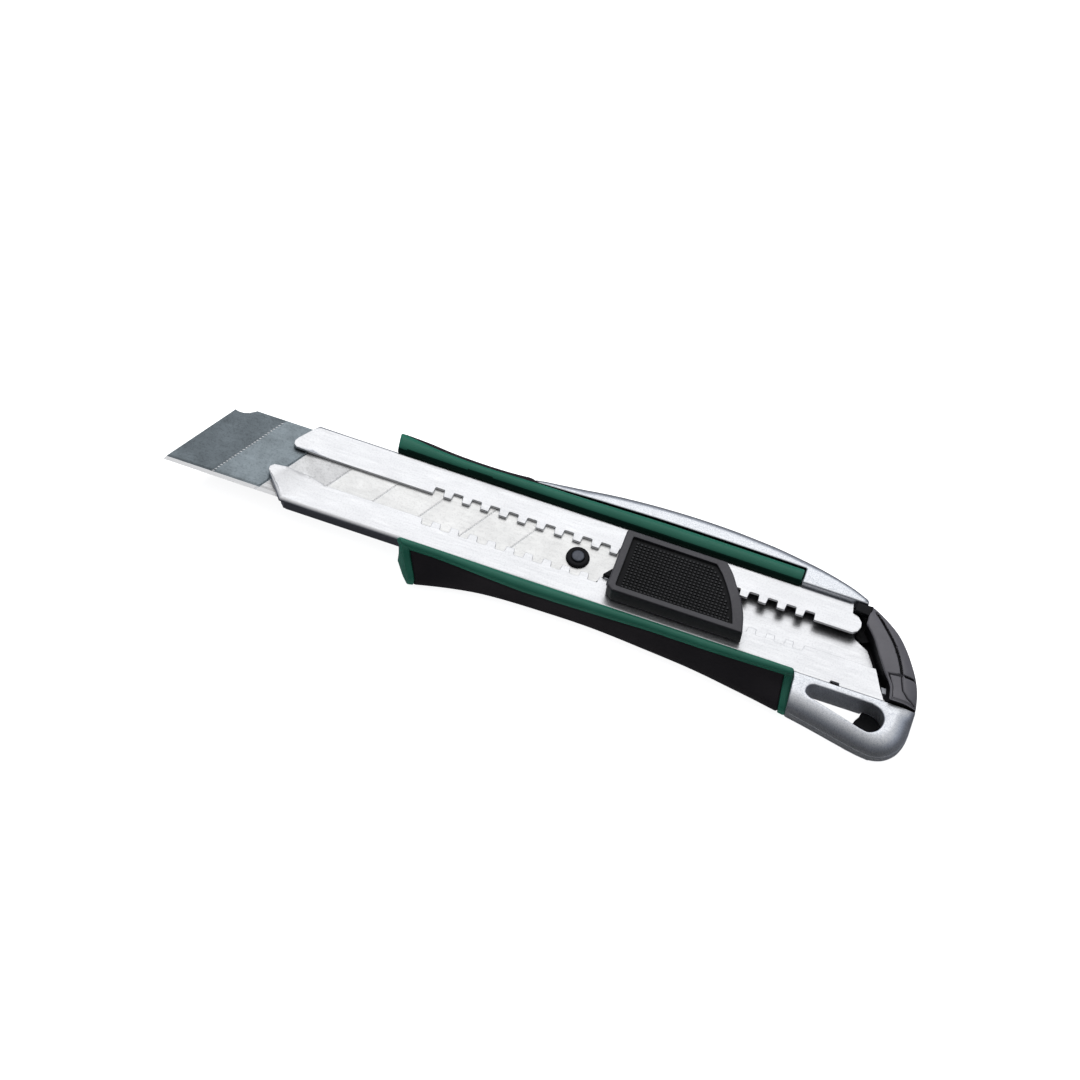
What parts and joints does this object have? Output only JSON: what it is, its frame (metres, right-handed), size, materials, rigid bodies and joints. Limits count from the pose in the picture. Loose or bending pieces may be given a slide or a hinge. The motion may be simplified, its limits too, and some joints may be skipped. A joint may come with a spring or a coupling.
{
  "type": "utility knife",
  "caption": "Snap-off utility knife: steel blade in a toothed stainless channel, thumb slider that clicks along it, two-tone grips, pull-off tail cap and hanging hole.",
  "frame": {"origin": "under the middle of the overall box, on the plane of the handle's back face", "axes": "+X from the blade's tip to the tail, +Y from the cutting edge to the blade's back, +Z out of the slider face"},
  "size_m": [0.1624, 0.0398, 0.0107],
  "materials": {
    "die_cast": "satin bead-blasted die casting",
    "stainless": "bright brushed stainless sheet",
    "blade_steel": "ground carbon steel",
    "green_grip": "satin dark green moulded plastic",
    "black_rubber": "soft black elastomer",
    "black_plastic": "satin black moulded plastic",
    "grey_metal": "plain steel",
    "spring_steel": "spring steel"
  },
  "bodies": {
    "handle": {"body_casting": "die_cast", "blade_channel": "stainless", "rivet_front": "grey_metal", "rivet_rear": "grey_metal", "near_grip_frame": "green_grip", "near_grip_pad": "black_rubber", "far_grip_ridge": "green_grip", "far_grip_pad": "black_rubber", "back_panel": "black_rubber", "cap_stop": "grey_metal"},
    "carriage": {"slider_base": "black_plastic", "slider_rim": "black_plastic", "slider_pad": "black_rubber", "blade_carrier": "grey_metal", "shoe_far": "black_plastic", "shoe_near": "black_plastic", "blade_pin": "grey_metal", "pin_collar": "black_plastic", "blade": "blade_steel", "lock_spring": "spring_steel"},
    "lock": {"lock_tooth": "grey_metal"},
    "cap": {"tail_cap": "black_plastic", "cap_plate": "black_plastic", "cap_button_spring": "spring_steel"},
    "button": {"cap_button": "black_plastic"}
  },
  "joints": [
    {"name": "blade_slide", "type": "slide", "parent": "handle", "child": "carriage", "axis": [-1, 0, 0], "range_m": [-0.028, 0.044]},
    {"name": "lock_lift", "type": "slide", "parent": "carriage", "child": "lock", "axis": [0, 0, 1], "range_m": [0, 0.0008], "stiffness_N_per_m": 600, "springref_m": -0.0008, "deforming": ["lock_spring"]},
    {"name": "cap_pull", "type": "slide", "parent": "handle", "child": "cap", "axis": [1, 0, 0], "range_m": [0, 0.025]},
    {"name": "button_press", "type": "slide", "parent": "cap", "child": "button", "axis": [0, 0, -1], "range_m": [0, 0.0006], "stiffness_N_per_m": 800, "springref_m": -0.0005, "deforming": ["cap_button_spring"]}
  ]
}
